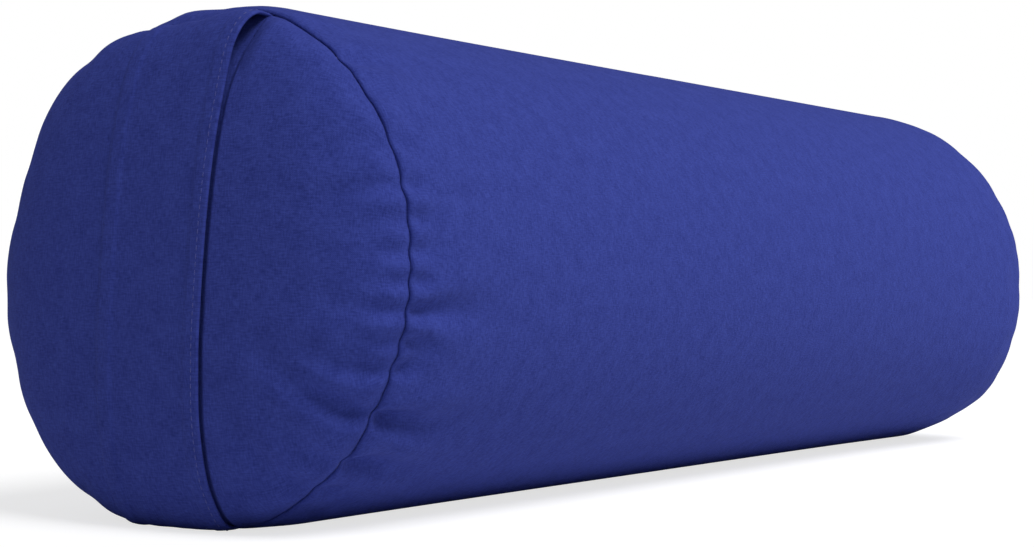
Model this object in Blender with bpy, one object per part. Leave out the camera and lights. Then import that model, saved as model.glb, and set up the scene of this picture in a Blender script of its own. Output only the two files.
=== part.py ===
"""A round bolster pillow, 760 mm long and 230 mm across, lying on its side.

A removable cotton cover with an envelope closure in one end goes round an inner
bolster: a cotton liner stuffed with rolled cotton batting. The bolster's axis
runs along Y, and the closure faces -Y.
"""

import math
from dataclasses import dataclass

import bmesh
import bpy
from mathutils import Matrix, Vector

# Cover
COVER_RADIUS = 0.115
COVER_SEAM_RADIUS = 0.110
COVER_SEAM_Y = 0.3436
END_DOME = 0.036
FABRIC = 0.0012
SEAM_ALLOWANCE = 0.010
FLAT_SAG = 0.0036  # how far the round cover is pressed flat where it rests
SHOULDER = 0.050  # length over which the body draws in towards an end seam
DOME_POWER = 2.6  # 2 is an ellipse; a larger power gives a flatter end and a rounder shoulder

# Envelope closure
CLOSURE_EDGE_X = 0.028  # the free edge of the outer half panel
CLOSURE_OVERLAP = 0.051
LAYER_STEP = 0.0030
OVERLAP_STITCH_INSET = 0.003
UNDERLAP_STITCH_INSET = 0.009

# Inner bolster
LINER_RADIUS = 0.1118
LINER_SEAM_RADIUS = 0.1040
LINER_SEAM_Y = 0.3376
LINER_DOME = 0.037
LINER_FABRIC = 0.0010
FILLING_RADIUS = 0.1102
FILLING_SEAM_RADIUS = 0.1020
FILLING_SEAM_Y = 0.3356
FILLING_DOME = 0.0368
CORE_RADIUS = 0.070
CORE_HALF_LENGTH = 0.3236

# Threads
THREAD_RADIUS = 0.0004
STITCH_STANDOFF = 0.0007  # from the cloth's surface to the middle of a thread that lies on it
OVERLOCK_RADIUS = 0.0006

GAP = 0.0003
COVER_SEGMENTS = 56
INNER_SEGMENTS = 40
THREAD_SEGMENTS = 40
DOME_STEPS = 6
SHOULDER_STEPS = 4
AXIS_Z = COVER_RADIUS - FLAT_SAG
BACK_SEAM_ANGLE = math.radians(225)
LINER_SEAM_ANGLE = math.radians(100)
RIM_Y = COVER_SEAM_Y + GAP
FLAP_HINGE = Vector((-COVER_SEAM_RADIUS, -RIM_Y, AXIS_Z))


@dataclass(frozen=True)
class Envelope:
    """The turned outline of one layer: a tube that draws in to a domed end."""

    radius: float
    seam_radius: float
    seam_y: float
    dome: float

    def radius_at(self, y):
        near_seam = min(1.0, max(0.0, (self.seam_y - abs(y)) / SHOULDER))
        swell = math.sqrt(1.0 - (1.0 - near_seam) ** 2)
        return self.seam_radius + (self.radius - self.seam_radius) * swell

    def shoulder_ys(self):
        """Heights of the tube's rings, from one end seam to the other."""
        half = [
            self.seam_y - SHOULDER * (1.0 - math.cos(step / SHOULDER_STEPS * math.pi / 2))
            for step in range(SHOULDER_STEPS + 1)
        ]
        return [-y for y in half] + half[::-1]

    def height_at(self, radius):
        """How far the dome stands out from its rim at this distance from the axis."""
        return self.dome * math.sqrt(1.0 - min(1.0, radius / self.seam_radius) ** DOME_POWER)

    def dome_line(self):
        """(radius, height) from the middle of the dome to its rim."""
        line = []
        for step in range(DOME_STEPS + 1):
            turn = step / DOME_STEPS * math.pi / 2
            radius = self.seam_radius * math.sin(turn) ** (2 / DOME_POWER)
            line.append((radius, self.dome * math.cos(turn)))
        line[-1] = (self.seam_radius, 0.0)
        return line


def grown(envelope, by):
    """The same outline, moved out (or in, where negative) by one cloth thickness."""
    return Envelope(
        envelope.radius + by, envelope.seam_radius + by, envelope.seam_y, envelope.dome + by
    )


COVER = Envelope(COVER_RADIUS, COVER_SEAM_RADIUS, COVER_SEAM_Y, END_DOME)
LINER = Envelope(LINER_RADIUS, LINER_SEAM_RADIUS, LINER_SEAM_Y, LINER_DOME)
FILLING = Envelope(FILLING_RADIUS, FILLING_SEAM_RADIUS, FILLING_SEAM_Y, FILLING_DOME)


def cloth(name, colour, roughness):
    material = bpy.data.materials.new(name)
    material.use_nodes = True
    shader = material.node_tree.nodes["Principled BSDF"]
    shader.inputs["Base Color"].default_value = (*colour, 1.0)
    shader.inputs["Roughness"].default_value = roughness
    shader.inputs["Metallic"].default_value = 0.0
    return material


def add_object(name, data, material, origin=Vector((0, 0, AXIS_Z))):
    """Add data that is drawn about the bolster's axis, with its origin at this world point."""
    data.transform(Matrix.Translation(Vector((0, 0, AXIS_Z)) - origin))
    data.materials.append(material)
    obj = bpy.data.objects.new(name, data)
    bpy.context.collection.objects.link(obj)
    obj.location = origin
    return obj


def turned(profile, segments, closed):
    """A solid of revolution about Y. The profile is a list of (radius, y)."""
    bm = bmesh.new()
    points = [bm.verts.new((radius, y, 0.0)) for radius, y in profile]
    edges = [bm.edges.new(pair) for pair in zip(points, points[1:])]
    if closed:
        edges.append(bm.edges.new((points[-1], points[0])))
    bmesh.ops.spin(
        bm, geom=points + edges, cent=(0, 0, 0), axis=(0, 1, 0), dvec=(0, 0, 0),
        angle=math.tau, steps=segments, use_merge=True,
    )
    bmesh.ops.remove_doubles(bm, verts=bm.verts, dist=1e-6)
    bmesh.ops.recalc_face_normals(bm, faces=bm.faces)
    return bm


def press_flat(bm, envelope):
    """Flatten the underside where the pillow rests, keeping each layer's thickness."""
    for vert in bm.verts:
        distance = math.hypot(vert.co.x, vert.co.z)
        depth = envelope.radius_at(vert.co.y) - distance
        if depth < SEAM_ALLOWANCE:
            vert.co.z = max(vert.co.z, depth + FLAT_SAG - envelope.radius)


def mesh_from(bm, name):
    mesh = bpy.data.meshes.new(name)
    bm.to_mesh(mesh)
    bm.free()
    mesh.shade_smooth()
    mesh.set_sharp_from_angle(angle=math.radians(40))
    return mesh


def cut_along_x(bm, x, keep_above):
    """Cut a panel straight down at x and close its cut edge."""
    cut = bmesh.ops.bisect_plane(
        bm, geom=bm.verts[:] + bm.edges[:] + bm.faces[:], dist=1e-6, plane_co=(x, 0, 0),
        plane_no=(1, 0, 0), clear_inner=keep_above, clear_outer=not keep_above,
    )
    edges = [item for item in cut["geom_cut"] if isinstance(item, bmesh.types.BMEdge)]
    bmesh.ops.holes_fill(bm, edges=edges, sides=0)
    bmesh.ops.recalc_face_normals(bm, faces=bm.faces)


def tube_shell(envelope, thickness, segments, allowance=0.0):
    """A sewn tube of cloth. Its allowances are turned in and lie against its inside."""
    outer = [(envelope.radius_at(y), y) for y in envelope.shoulder_ys()]
    turned_in = [(radius - 2 * thickness, y) for radius, y in (outer[0], outer[-1])]
    inner = [(radius - thickness, y) for radius, y in outer[1:-1]]
    if allowance:
        edge_y = envelope.seam_y - allowance
        edge = envelope.radius_at(edge_y)
        inner = [(radius, y) for radius, y in inner if abs(y) < edge_y]
        step = [(edge - 2 * thickness, edge_y), (edge - thickness, edge_y)]
        inner = [(radius, -y) for radius, y in step] + inner + step[::-1]
    else:
        turned_in = [(radius + thickness, y) for radius, y in turned_in]
    inner = [turned_in[0]] + inner + [turned_in[1]]
    bm = turned(outer + inner[::-1], segments, closed=True)
    press_flat(bm, envelope)
    return bm


def dome_shell(envelope, thickness, segments, side, rim_y):
    """A round end panel, bulged by what it holds. Side is -1 at the closure end and 1 at the other."""
    outer = envelope.dome_line()
    inner = grown(envelope, -thickness).dome_line()
    line = outer + inner[::-1]
    return turned([(radius, side * (rim_y + height)) for radius, height in line], segments, closed=False)


def dome_pad(envelope, back_y, segments, side):
    """A solid pad that fills one end of the liner, from a flat back to its dome."""
    ys = [y for y in envelope.shoulder_ys() if y > back_y]
    line = [(radius, envelope.seam_y + height) for radius, height in envelope.dome_line()[:-1]]
    line += [(envelope.radius_at(y), y) for y in ys[::-1]]
    line += [(envelope.radius_at(back_y), back_y), (0.0, back_y)]
    bm = turned([(radius, side * y) for radius, y in line], segments, closed=False)
    press_flat(bm, envelope)
    return bm


def thread_data(name, points, radius=THREAD_RADIUS, ring=False):
    """A round thread along these points, about the bolster's axis."""
    curve = bpy.data.curves.new(name, "CURVE")
    curve.dimensions = "3D"
    spline = curve.splines.new("POLY")
    spline.points.add(len(points) - 1)
    for knot, point in zip(spline.points, points):
        knot.co = (*point, 1.0)
    spline.use_cyclic_u = ring
    curve.bevel_depth = radius
    curve.bevel_resolution = 0
    curve.use_fill_caps = not ring
    return curve


def ring_points(radius, y, segments=THREAD_SEGMENTS):
    turns = [step / segments * math.tau for step in range(segments)]
    return [Vector((radius * math.cos(turn), y, radius * math.sin(turn))) for turn in turns]


def lengthwise_points(envelope, offset, angle, start_y, end_y):
    """Points along the tube at one angle, this far out from its surface."""
    ys = [start_y] + [y for y in envelope.shoulder_ys() if start_y < y < end_y] + [end_y]
    spine = []
    for y in ys:
        radius = envelope.radius_at(y) + offset
        spine.append(Vector((radius * math.cos(angle), y, radius * math.sin(angle))))
    return spine


def hem_points(envelope, x, offset, steps=14):
    """Points straight down the closure end at x, this far out from its surface."""
    surface = grown(envelope, offset)
    reach = math.sqrt(envelope.seam_radius**2 - x**2) - SEAM_ALLOWANCE / 2
    points = []
    for step in range(steps + 1):
        z = -reach * math.cos(step / steps * math.pi)
        points.append(Vector((x, -RIM_Y - surface.height_at(math.hypot(x, z)), z)))
    return points


def build_cover(blue):
    body = tube_shell(COVER, FABRIC, COVER_SEGMENTS, SEAM_ALLOWANCE)
    add_object("cover_body", mesh_from(body, "cover_body"), blue)

    # The closure's hem stitches stand proud of its panel, and a slightly deeper far end balances them.
    far = Envelope(
        COVER.radius, COVER.seam_radius, COVER.seam_y, END_DOME + STITCH_STANDOFF + THREAD_RADIUS
    )
    far_panel = dome_shell(far, FABRIC, COVER_SEGMENTS, 1, RIM_Y)
    add_object("far_end_panel", mesh_from(far_panel, "far_end_panel"), blue)

    underlap = dome_shell(grown(COVER, -LAYER_STEP), FABRIC, COVER_SEGMENTS, -1, RIM_Y)
    cut_along_x(underlap, CLOSURE_EDGE_X - CLOSURE_OVERLAP, keep_above=True)
    add_object("closure_underlap_panel", mesh_from(underlap, "closure_underlap_panel"), blue)

    overlap = dome_shell(COVER, FABRIC, COVER_SEGMENTS, -1, RIM_Y)
    cut_along_x(overlap, CLOSURE_EDGE_X, keep_above=False)
    return add_object("closure_overlap_panel", mesh_from(overlap, "closure_overlap_panel"), blue, FLAP_HINGE)


def build_cover_threads(thread):
    band_radius = COVER_SEAM_RADIUS - 2 * FABRIC
    seam_ring = band_radius - STITCH_STANDOFF - THREAD_RADIUS
    seam_y = COVER_SEAM_Y - 0.0015
    # The overlock runs along the raw edge of the allowance, clear of the pressed underside.
    edge_y = COVER_SEAM_Y - SEAM_ALLOWANCE - OVERLOCK_RADIUS - GAP
    overlock_ring = AXIS_Z - 2 * FABRIC - OVERLOCK_RADIUS + GAP / 2
    for end, side in (("near", -1), ("far", 1)):
        seam = thread_data(f"{end}_end_seam_thread", ring_points(seam_ring, side * seam_y), ring=True)
        add_object(f"{end}_end_seam_thread", seam, thread)
        edge = ring_points(overlock_ring, side * edge_y)
        overlock = thread_data(f"{end}_end_overlock", edge, OVERLOCK_RADIUS, ring=True)
        add_object(f"{end}_end_overlock", overlock, thread)

    inside = -FABRIC - STITCH_STANDOFF
    reach = COVER_SEAM_Y - SEAM_ALLOWANCE - 0.004
    side_seam = lengthwise_points(COVER, inside, BACK_SEAM_ANGLE, -reach, reach)
    add_object("cover_side_seam_thread", thread_data("cover_side_seam_thread", side_seam), thread)

    underlap_x = CLOSURE_EDGE_X - CLOSURE_OVERLAP + UNDERLAP_STITCH_INSET
    underlap_hem = hem_points(COVER, underlap_x, STITCH_STANDOFF - LAYER_STEP)
    add_object("underlap_hem_stitching", thread_data("underlap_hem_stitching", underlap_hem), thread)

    overlap_x = CLOSURE_EDGE_X - OVERLAP_STITCH_INSET
    overlap_hem = hem_points(COVER, overlap_x, STITCH_STANDOFF)
    data = thread_data("overlap_hem_stitching", overlap_hem)
    return add_object("overlap_hem_stitching", data, thread, FLAP_HINGE)


def build_liner(muslin, thread):
    tube = tube_shell(LINER, LINER_FABRIC, INNER_SEGMENTS)
    add_object("liner_body", mesh_from(tube, "liner_body"), muslin)
    seam_ring = LINER_SEAM_RADIUS - GAP
    seam_y = LINER_SEAM_Y - 0.0015
    for end, side in (("near", -1), ("far", 1)):
        panel = dome_shell(LINER, LINER_FABRIC, INNER_SEGMENTS, side, LINER_SEAM_Y + GAP)
        add_object(f"liner_{end}_end", mesh_from(panel, f"liner_{end}_end"), muslin)
        seam = thread_data(f"liner_{end}_seam_thread", ring_points(seam_ring, side * seam_y), ring=True)
        add_object(f"liner_{end}_seam_thread", seam, thread)

    # The side seam is sewn by machine for most of its length. The rest was the way in for
    # the filling, and is closed by hand.
    end_y = LINER_SEAM_Y - 0.015
    machine = lengthwise_points(LINER, STITCH_STANDOFF, LINER_SEAM_ANGLE, -end_y, 0.080)
    add_object("liner_side_seam_thread", thread_data("liner_side_seam_thread", machine), thread)
    by_hand = lengthwise_points(LINER, STITCH_STANDOFF, LINER_SEAM_ANGLE, 0.084, end_y)
    add_object("liner_closing_stitch", thread_data("liner_closing_stitch", by_hand), thread)


def build_filling(batting):
    core = turned(
        [(0.0, -CORE_HALF_LENGTH), (CORE_RADIUS - GAP, -CORE_HALF_LENGTH),
         (CORE_RADIUS - GAP, CORE_HALF_LENGTH), (0.0, CORE_HALF_LENGTH)],
        INNER_SEGMENTS, closed=False,
    )
    add_object("filling_core_roll", mesh_from(core, "filling_core_roll"), batting)

    ys = [y for y in FILLING.shoulder_ys() if abs(y) < CORE_HALF_LENGTH]
    ys = [-CORE_HALF_LENGTH] + ys + [CORE_HALF_LENGTH]
    wrap_line = [(FILLING.radius_at(y), y) for y in ys]
    wrap_line += [(CORE_RADIUS, CORE_HALF_LENGTH), (CORE_RADIUS, -CORE_HALF_LENGTH)]
    wrap = turned(wrap_line, INNER_SEGMENTS, closed=True)
    press_flat(wrap, FILLING)
    add_object("filling_outer_wrap", mesh_from(wrap, "filling_outer_wrap"), batting)

    for end, side in (("near", -1), ("far", 1)):
        pad = dome_pad(FILLING, CORE_HALF_LENGTH + GAP, INNER_SEGMENTS, side)
        add_object(f"{end}_end_filling_pad", mesh_from(pad, f"{end}_end_filling_pad"), batting)


def hang_closure(pieces):
    """The overlap and its stitching lift together about the sewn side of the end seam."""
    hinge = bpy.data.objects.new("overlap_hinge", None)
    bpy.context.collection.objects.link(hinge)
    hinge.location = FLAP_HINGE
    for piece in pieces:
        piece.parent = hinge
        piece.location = (0, 0, 0)


for old in list(bpy.data.objects):
    bpy.data.objects.remove(old, do_unlink=True)

BLUE_COTTON = cloth("blue_cotton_twill", (0.030, 0.042, 0.215), 0.92)
BLUE_THREAD = cloth("blue_polyester_thread", (0.018, 0.024, 0.110), 0.70)
NATURAL_MUSLIN = cloth("natural_cotton_muslin", (0.720, 0.640, 0.500), 0.95)
NATURAL_THREAD = cloth("natural_cotton_thread", (0.780, 0.720, 0.600), 0.85)
COTTON_BATTING = cloth("cotton_batting", (0.800, 0.760, 0.660), 1.00)

overlap_panel = build_cover(BLUE_COTTON)
overlap_stitching = build_cover_threads(BLUE_THREAD)
build_liner(NATURAL_MUSLIN, NATURAL_THREAD)
build_filling(COTTON_BATTING)
hang_closure([overlap_panel, overlap_stitching])
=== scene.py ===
import math

import bmesh
import bpy
import numpy as np
from mathutils import Matrix, Vector, geometry, noise
from mathutils.bvhtree import BVHTree


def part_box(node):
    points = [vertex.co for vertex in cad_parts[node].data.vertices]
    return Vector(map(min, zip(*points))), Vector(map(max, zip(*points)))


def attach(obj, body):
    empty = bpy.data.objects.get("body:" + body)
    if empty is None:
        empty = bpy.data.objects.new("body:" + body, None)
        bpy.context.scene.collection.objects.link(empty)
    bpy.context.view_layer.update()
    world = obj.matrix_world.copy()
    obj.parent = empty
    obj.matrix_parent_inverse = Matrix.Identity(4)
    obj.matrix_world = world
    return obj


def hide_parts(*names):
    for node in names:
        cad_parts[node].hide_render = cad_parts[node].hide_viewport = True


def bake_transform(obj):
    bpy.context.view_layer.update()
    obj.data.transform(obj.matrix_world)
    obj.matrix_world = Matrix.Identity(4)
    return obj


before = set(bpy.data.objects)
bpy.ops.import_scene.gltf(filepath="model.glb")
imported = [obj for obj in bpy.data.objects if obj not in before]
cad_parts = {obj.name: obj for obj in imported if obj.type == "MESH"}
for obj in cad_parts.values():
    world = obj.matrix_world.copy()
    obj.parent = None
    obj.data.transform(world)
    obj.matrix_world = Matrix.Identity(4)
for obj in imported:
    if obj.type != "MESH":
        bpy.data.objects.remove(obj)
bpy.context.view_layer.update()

# The room: a pale floor that runs out of sight, white all round, with a broad soft light high on the right
# and a weaker softbox by the far end. The camera is level with the bolster's middle, off its closure end.
tube_low, tube_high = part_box("cover_body")
BODY_RADIUS = (tube_high[0] - tube_low[0]) / 2
SEAM_Y = tube_high[1]
AXIS_Z = tube_high[2] - BODY_RADIUS
NEAR_END = Vector((0, -SEAM_Y, AXIS_Z))

CAMERA_TURN = math.radians(33.9)  # between the line of sight and the pillow's length
CAMERA_RISE = math.radians(0.5)
CAMERA_FRAME_MM = 36
CAMERA_LENS_MM = 69.6
NEAR_END_IN_VIEW = Vector((-1.172, 0.020, 7.470)) * BODY_RADIUS  # to the right, up and ahead
CAMERA_SEES_TO = 100
FLOOR_SIZE = 40
FLOOR_SEEN_SHADE = 0.40  # how pale the floor is to the camera, and how much light it throws back
FLOOR_BOUNCE_SHADE = 0.88
FLOOR_GLOW = 0.72
ROOM_TINT = (0.95, 0.97, 1, 1)
ROOM_LIGHT = 0.22
SUN_LIGHT = 2.15
SUN_FROM = Vector((0.56, -0.10, 0.82))
SUN_SPREAD = math.radians(26)
SOFTBOX_PLACE = Vector((1.0, 0.9, 1.1))
SOFTBOX_AIM = Vector((0, 0.15, 0.1))
SOFTBOX_SIZE = 0.8
SOFTBOX_LIGHT = 6


def node(tree, kind, inputs=(), **settings):
    """A shader node with its settings, and its inputs as (name, number, colour or output socket) pairs."""
    made = tree.nodes.new(kind)
    for name, value in settings.items():
        setattr(made, name, value)
    for name, value in dict(inputs).items():
        if isinstance(value, bpy.types.NodeSocket):
            tree.links.new(value, made.inputs[name])
        else:
            made.inputs[name].default_value = value
    return made


def add_piece(name, bm):
    """The bmesh as an object of this name, shaded smooth."""
    mesh = bpy.data.meshes.new(name)
    bm.to_mesh(mesh)
    bm.free()
    mesh.shade_smooth()
    piece = bpy.data.objects.new(name, mesh)
    bpy.context.scene.collection.objects.link(piece)
    return piece


def lay_floor():
    bm = bmesh.new()
    bmesh.ops.create_grid(bm, x_segments=1, y_segments=1, size=FLOOR_SIZE / 2)
    floor = add_piece("studio_floor", bm)
    paint = bpy.data.materials.new("white_paper")
    paint.use_nodes = True
    tree = paint.node_tree
    tree.nodes.clear()
    path = node(tree, "ShaderNodeLightPath")
    seen = path.outputs["Is Camera Ray"]
    shades = {"To Min": FLOOR_BOUNCE_SHADE, "To Max": FLOOR_SEEN_SHADE}
    shade = node(tree, "ShaderNodeMapRange", {"Value": seen, **shades})
    paper = node(tree, "ShaderNodeBsdfDiffuse", {"Color": shade.outputs[0]})
    glow = node(tree, "ShaderNodeMath", {0: seen, 1: FLOOR_GLOW}, operation="MULTIPLY")
    backlight = node(tree, "ShaderNodeEmission", {"Strength": glow.outputs[0]})
    both = node(tree, "ShaderNodeAddShader", {0: paper.outputs[0], 1: backlight.outputs[0]})
    node(tree, "ShaderNodeOutputMaterial", {"Surface": both.outputs[0]})
    floor.data.materials.append(paint)


def light_room():
    bpy.context.scene.view_settings.view_transform = "Standard"
    world = bpy.data.worlds.new("white_room")
    bpy.context.scene.world = world
    world.use_nodes = True
    tree = world.node_tree
    tree.nodes.clear()
    seen = node(tree, "ShaderNodeBackground", {"Color": (1, 1, 1, 1), "Strength": 1.0})
    cast = node(tree, "ShaderNodeBackground", {"Color": ROOM_TINT, "Strength": ROOM_LIGHT})
    path = node(tree, "ShaderNodeLightPath")
    choice = {0: path.outputs["Is Camera Ray"], 1: cast.outputs[0], 2: seen.outputs[0]}
    either = node(tree, "ShaderNodeMixShader", choice)
    node(tree, "ShaderNodeOutputWorld", {"Surface": either.outputs[0]})
    sun = bpy.data.lights.new("soft_key", "SUN")
    sun.energy = SUN_LIGHT
    sun.angle = SUN_SPREAD
    lamp = bpy.data.objects.new("soft_key", sun)
    lamp.rotation_euler = SUN_FROM.to_track_quat("Z", "Y").to_euler()
    bpy.context.scene.collection.objects.link(lamp)
    panel = bpy.data.lights.new("far_softbox", "AREA")
    panel.shape = "DISK"
    panel.size = SOFTBOX_SIZE
    panel.energy = SOFTBOX_LIGHT
    lamp = bpy.data.objects.new("far_softbox", panel)
    lamp.location = SOFTBOX_PLACE
    lamp.rotation_euler = (SOFTBOX_PLACE - SOFTBOX_AIM).to_track_quat("Z", "Y").to_euler()
    bpy.context.scene.collection.objects.link(lamp)


def set_camera():
    camera = bpy.data.objects.new("camera", bpy.data.cameras.new("camera"))
    bpy.context.scene.collection.objects.link(camera)
    tilt = Matrix.Rotation(CAMERA_RISE, 3, "X")
    right = tilt @ Vector((math.cos(CAMERA_TURN), math.sin(CAMERA_TURN), 0))
    ahead = tilt @ Vector((-math.sin(CAMERA_TURN), math.cos(CAMERA_TURN), 0))
    up = right.cross(ahead)
    offset = NEAR_END_IN_VIEW
    camera.location = NEAR_END - offset.x * right - offset.y * up - offset.z * ahead
    camera.rotation_euler = Matrix((right, up, -ahead)).transposed().to_euler()
    camera.data.sensor_width = CAMERA_FRAME_MM
    camera.data.lens = CAMERA_LENS_MM
    camera.data.clip_end = CAMERA_SEES_TO
    bpy.context.scene.camera = camera


lay_floor()
light_room()
set_camera()

# The cover's cloth: a royal blue cotton twill of medium weight, matt, with yarns of slightly uneven shade. It
# is cut in four panels. Each has its pattern laid out flat in metres, so that the weave follows the cloth.
YARN = 0.0007
TWILL_DEEP = (0.020, 0.031, 0.200, 1)
TWILL_PALE = (0.043, 0.063, 0.325, 1)


def pattern_coordinates(tree, scale):
    uv = node(tree, "ShaderNodeUVMap", uv_map="pattern")
    return node(tree, "ShaderNodeMapping", {"Vector": uv.outputs[0], "Scale": scale}).outputs[0]


def math_node(tree, operation, first, second=0.0):
    return node(tree, "ShaderNodeMath", {0: first, 1: second}, operation=operation).outputs[0]


def woven(name, deep, pale, yarn, roughness=0.92, relief=0.00022, sheen=0.08):
    """A woven cotton: crossing yarns in relief, and slubs and patches of slightly different shade."""
    cloth = bpy.data.materials.new(name)
    cloth.use_nodes = True
    tree = cloth.node_tree
    shader = tree.nodes["Principled BSDF"]
    across = node(tree, "ShaderNodeSeparateXYZ", {0: pattern_coordinates(tree, (math.tau / yarn,) * 3)})
    warp = math_node(tree, "SINE", across.outputs["X"])
    weft = math_node(tree, "SINE", across.outputs["Y"])
    along_diagonal = math_node(tree, "ADD", across.outputs["X"], across.outputs["Y"])
    diagonal = math_node(tree, "SINE", along_diagonal)
    weave = math_node(tree, "ADD", math_node(tree, "MULTIPLY", warp, weft), diagonal)

    slubs = []
    for scale in ((1500, 330, 1), (330, 1500, 1)):
        flat = pattern_coordinates(tree, scale)
        slub = node(tree, "ShaderNodeTexNoise", {"Vector": flat, "Scale": 1.0, "Detail": 3.0})
        slubs.append(slub.outputs[0])
    broad = pattern_coordinates(tree, (22, 22, 1))
    patches = node(tree, "ShaderNodeTexNoise", {"Vector": broad, "Detail": 4.0})
    heather = math_node(tree, "ADD", slubs[0], slubs[1])
    heather = math_node(tree, "ADD", heather, math_node(tree, "MULTIPLY", weave, 0.02))
    faded = math_node(tree, "MULTIPLY", patches.outputs[0], 0.6)
    heather = math_node(tree, "ADD", heather, faded)
    shade = node(tree, "ShaderNodeMapRange", {"Value": heather, "From Min": 0.95, "From Max": 1.65})
    dye = node(tree, "ShaderNodeMix", {"Factor": shade.outputs[0]}, data_type="RGBA")
    for side, colour in (("A", deep), ("B", pale)):
        next(s for s in dye.inputs if s.name == side and s.type == "RGBA").default_value = colour
    tree.links.new(next(s for s in dye.outputs if s.type == "RGBA"), shader.inputs["Base Color"])

    rumpled = pattern_coordinates(tree, (70, 70, 1))
    crumple = node(tree, "ShaderNodeTexNoise", {"Vector": rumpled, "Detail": 5.0})
    raised_yarn = math_node(tree, "MULTIPLY", weave, 0.05)
    raised_slub = math_node(tree, "MULTIPLY", heather, 0.9)
    height = math_node(tree, "ADD", raised_yarn, raised_slub)
    soft_relief = {"Height": crumple.outputs[0], "Distance": 0.0012, "Strength": 0.35}
    soft = node(tree, "ShaderNodeBump", soft_relief)
    fine_relief = {"Height": height, "Distance": relief, "Strength": 0.8, "Normal": soft.outputs[0]}
    fine = node(tree, "ShaderNodeBump", fine_relief)
    tree.links.new(fine.outputs[0], shader.inputs["Normal"])
    shader.inputs["Roughness"].default_value = roughness
    shader.inputs["Specular IOR Level"].default_value = 0.15
    shader.inputs["Sheen Weight"].default_value = sheen
    shader.inputs["Sheen Roughness"].default_value = 0.5
    shader.inputs["Sheen Tint"].default_value = (*[min(1, 2.2 * c) for c in pale[:3]], 1)
    return cloth


BLUE_TWILL = woven("blue_cotton_twill", TWILL_DEEP, TWILL_PALE, YARN)

# The sewn cover: a tube of cloth with a round panel sewn into each end, pulled over the firm round cushion.
# The end seams draw the cloth up a little, so it gathers along them, most on the camera's side.
CUT_RADIUS = BODY_RADIUS - 0.0005
QUARTER_SPOKES = 44
SEAM_STEP = 0.0042  # mesh spacing along the length next to an end seam
BODY_STEP = 0.012
FINE_REACH = 0.090
SEAM_RADIUS = 0.977 * BODY_RADIUS
END_DOME = 0.301 * BODY_RADIUS
SHOULDER = 0.030  # how far from the seam the body reaches its full radius
DOME_SQUARENESS = (2.71, 2.36)
CLOSURE_ROLL = math.radians(4.4)  # the pillow was set down with its closure turned by this much
SIM_FRAMES = 20
START_SEAM_RADIUS = 0.109
START_CAP = 0.54  # half the opening angle of the shallow cap that a round end starts as
START_SHOULDER = 0.05
START_RIPPLE = 0.0012


def add_round_end(bm, side):
    """A round panel of square mesh, so that it has no pole in the middle."""
    made = bmesh.ops.create_grid(bm, x_segments=QUARTER_SPOKES, y_segments=QUARTER_SPOKES, size=1.0)["verts"]
    for vert in made:
        x, z = vert.co.x, vert.co.y
        across = x * math.sqrt(1 - z * z / 2)
        upright = z * math.sqrt(1 - x * x / 2)
        vert.co = (CUT_RADIUS * across, side * SEAM_Y, CUT_RADIUS * upright)
    return made


def extrude(bm, edges):
    """Extends the mesh from these edges, and gives the new edges and the new points."""
    made = bmesh.ops.extrude_edge_only(bm, edges=edges)["geom"]
    points = [g for g in made if isinstance(g, bmesh.types.BMVert)]
    return [g for g in made if isinstance(g, bmesh.types.BMEdge)], points


def ring_places():
    """Where the rings of mesh lie along the tube: close together near the end seams."""
    places = []
    y = -SEAM_Y
    while y < 0:
        places.append(y)
        beyond = max(0.0, SEAM_Y + y - FINE_REACH)
        y += min(BODY_STEP, SEAM_STEP * (1 + beyond / 0.02))
    return places + [0.0] + [-y for y in reversed(places)]


def cut_and_sew():
    """The cover as cut, not yet filled: a straight tube with flat ends. Each point keeps that place."""
    bm = bmesh.new()
    pattern = bm.verts.layers.float_vector.new("pattern")
    add_round_end(bm, -1)
    edge = [e for e in bm.edges if e.is_boundary]
    for y in ring_places()[1:]:
        edge, ring = extrude(bm, edge)
        for vert in ring:
            vert.co.y = y
    far_end = add_round_end(bm, 1)
    bmesh.ops.remove_doubles(bm, verts=ring + far_end, dist=1e-5)
    bmesh.ops.recalc_face_normals(bm, faces=bm.faces)
    for vert in bm.verts:
        vert[pattern] = vert.co
    return bm


def on_round_end(place):
    return abs(abs(place.y) - SEAM_Y) < 1e-6


def gather_share(place):
    """How much the end seam gathers the cloth here: most on the camera's side, from mid height down."""
    angle = math.atan2(place.z, place.x)
    return 0.35 + 0.65 * max(0.0, math.cos(angle + math.radians(22))) ** 0.8


def start_shape(place):
    """Where a point of the flat pattern starts, before the filling pushes the cloth out."""
    radius = math.hypot(place.x, place.z)
    angle = math.atan2(place.z, place.x)
    side = 1 if place.y > 0 else -1
    if on_round_end(place):
        turn = radius / CUT_RADIUS * START_CAP
        out = START_SEAM_RADIUS * math.sin(turn) / math.sin(START_CAP)
        rise = CUT_RADIUS / START_CAP * (math.cos(turn) - math.cos(START_CAP))
        y = side * (SEAM_Y - 0.002 + rise)
        from_seam = CUT_RADIUS - radius
    else:
        from_seam = SEAM_Y - abs(place.y)
        bare = 1 - min(1, from_seam / START_SHOULDER)
        out = START_SEAM_RADIUS + (CUT_RADIUS - START_SEAM_RADIUS) * math.sqrt(1 - bare * bare)
        y = place.y * (SEAM_Y - 0.002) / SEAM_Y
    lengthwise = 3 * side + 6 * place.y + 4 * radius
    ripple = noise.noise(Vector((5.5 * math.cos(angle), 5.5 * math.sin(angle), lengthwise)))
    ripple *= 0.0001 + START_RIPPLE * max(0, 1 - from_seam / 0.03)
    out += ripple * out / CUT_RADIUS
    if on_round_end(place):
        y += side * ripple
    return Vector((out * math.cos(angle), y, out * math.sin(angle)))


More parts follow.
